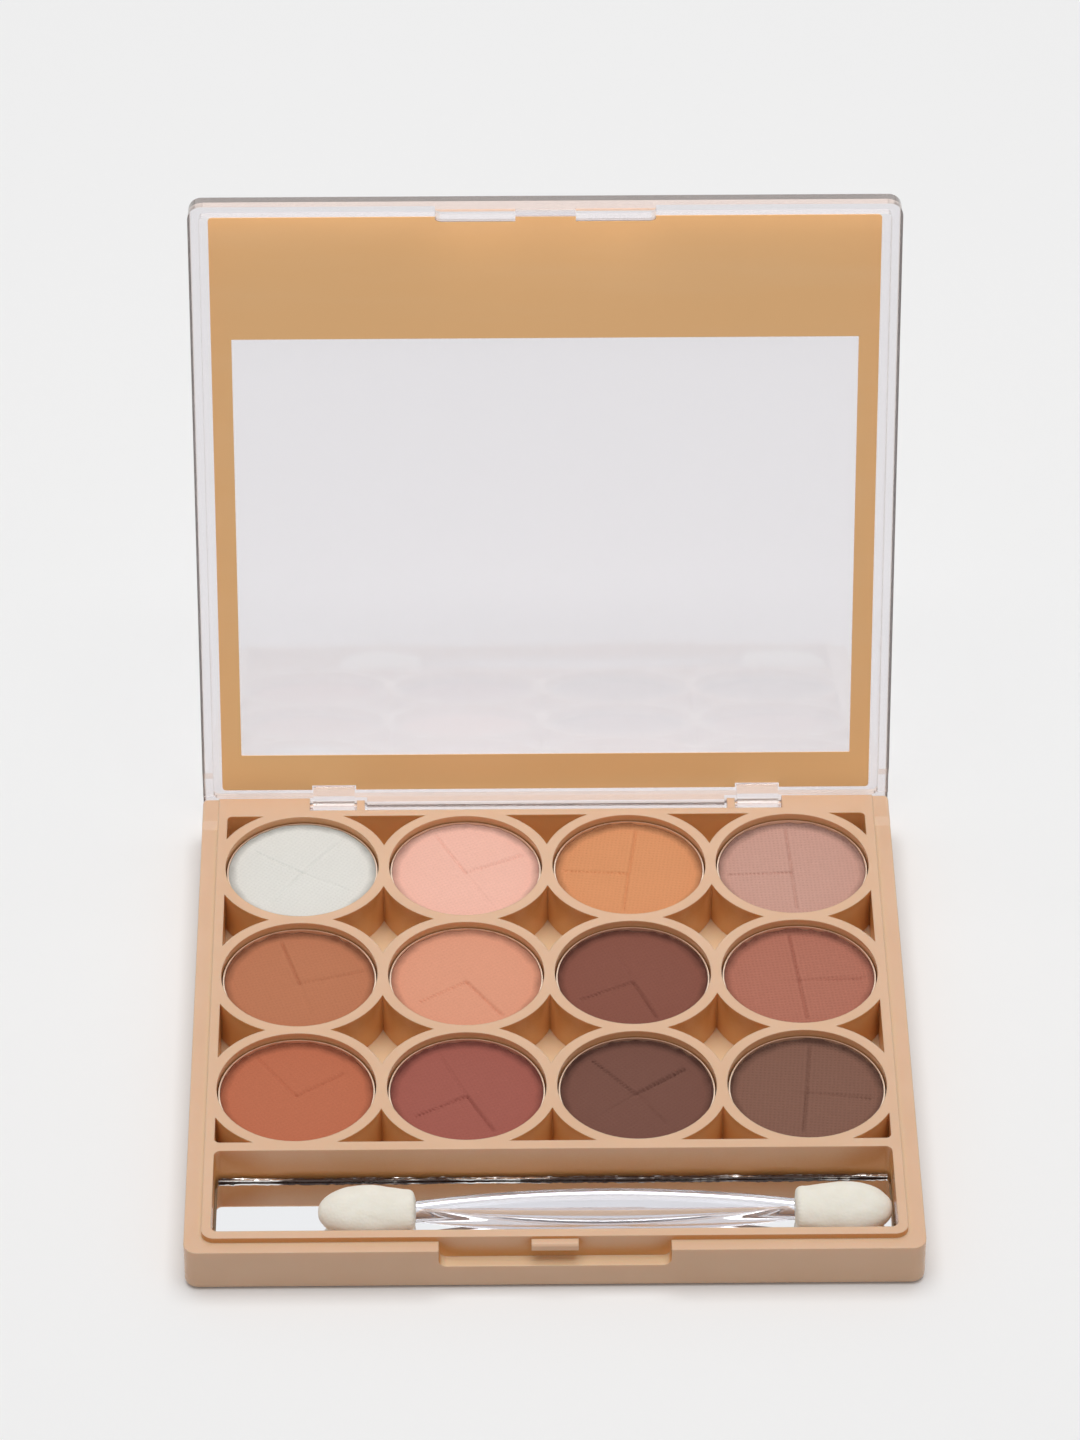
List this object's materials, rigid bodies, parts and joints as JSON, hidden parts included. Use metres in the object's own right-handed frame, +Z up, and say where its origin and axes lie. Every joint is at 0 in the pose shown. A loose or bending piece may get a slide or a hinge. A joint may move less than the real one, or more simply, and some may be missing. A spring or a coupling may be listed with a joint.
{
  "type": "eyeshadow palette",
  "caption": "Flat make-up compact: tan tray of round pressed powders in metal pans, front mirror trough with a double-ended sponge applicator, and a clear hinged lid.",
  "frame": {"origin": "centre of the tray's underside", "axes": "+X left to right, +Y from the front edge to the hinge, +Z up"},
  "size_m": [0.1062, 0.1265, 0.1043],
  "materials": {
    "tray_plastic": "satin moulded",
    "pan_metal": "pressed, bright",
    "powder_r1c1": "pressed powder, matt",
    "powder_r1c2": "pressed powder, matt",
    "powder_r1c3": "pressed powder, matt",
    "powder_r1c4": "pressed powder, matt",
    "powder_r2c1": "pressed powder, matt",
    "powder_r2c2": "pressed powder, matt",
    "powder_r2c3": "pressed powder, matt",
    "powder_r2c4": "pressed powder, matt",
    "powder_r3c1": "pressed powder, matt",
    "powder_r3c2": "pressed powder, matt",
    "powder_r3c3": "pressed powder, matt",
    "powder_r3c4": "pressed powder, matt",
    "mirror_glass": "silvered, cut edges",
    "tape": "adhesive both sides",
    "handle_plastic": "clear moulded",
    "sponge": "fine-celled foam",
    "lid_plastic": "clear moulded",
    "print_film": "printed film"
  },
  "bodies": {
    "base": {"base_tray": "tray_plastic", "pan_r1c1": "pan_metal", "pan_r1c2": "pan_metal", "pan_r1c3": "pan_metal", "pan_r1c4": "pan_metal", "pan_r2c1": "pan_metal", "pan_r2c2": "pan_metal", "pan_r2c3": "pan_metal", "pan_r2c4": "pan_metal", "pan_r3c1": "pan_metal", "pan_r3c2": "pan_metal", "pan_r3c3": "pan_metal", "pan_r3c4": "pan_metal", "powder_r1c1": "powder_r1c1", "powder_r1c2": "powder_r1c2", "powder_r1c3": "powder_r1c3", "powder_r1c4": "powder_r1c4", "powder_r2c1": "powder_r2c1", "powder_r2c2": "powder_r2c2", "powder_r2c3": "powder_r2c3", "powder_r2c4": "powder_r2c4", "powder_r3c1": "powder_r3c1", "powder_r3c2": "powder_r3c2", "powder_r3c3": "powder_r3c3", "powder_r3c4": "powder_r3c4", "mirror_strip": "mirror_glass", "mirror_tape": "tape"},
    "lid": {"lid_shell": "lid_plastic", "lid_print": "print_film"},
    "applicator": {"applicator_handle": "handle_plastic", "applicator_tip_left": "sponge", "applicator_tip_right": "sponge"}
  },
  "joints": [
    {"name": "lid_hinge", "type": "hinge", "parent": "base", "child": "lid", "pos_m": [0, 0.0492, 0.0069], "axis": [1, 0, 0], "range_deg": [0, 103]},
    {"name": "applicator_lift", "type": "slide", "parent": "base", "child": "applicator", "axis": [0, 0, 1], "range_m": [0, 0.04]}
  ]
}
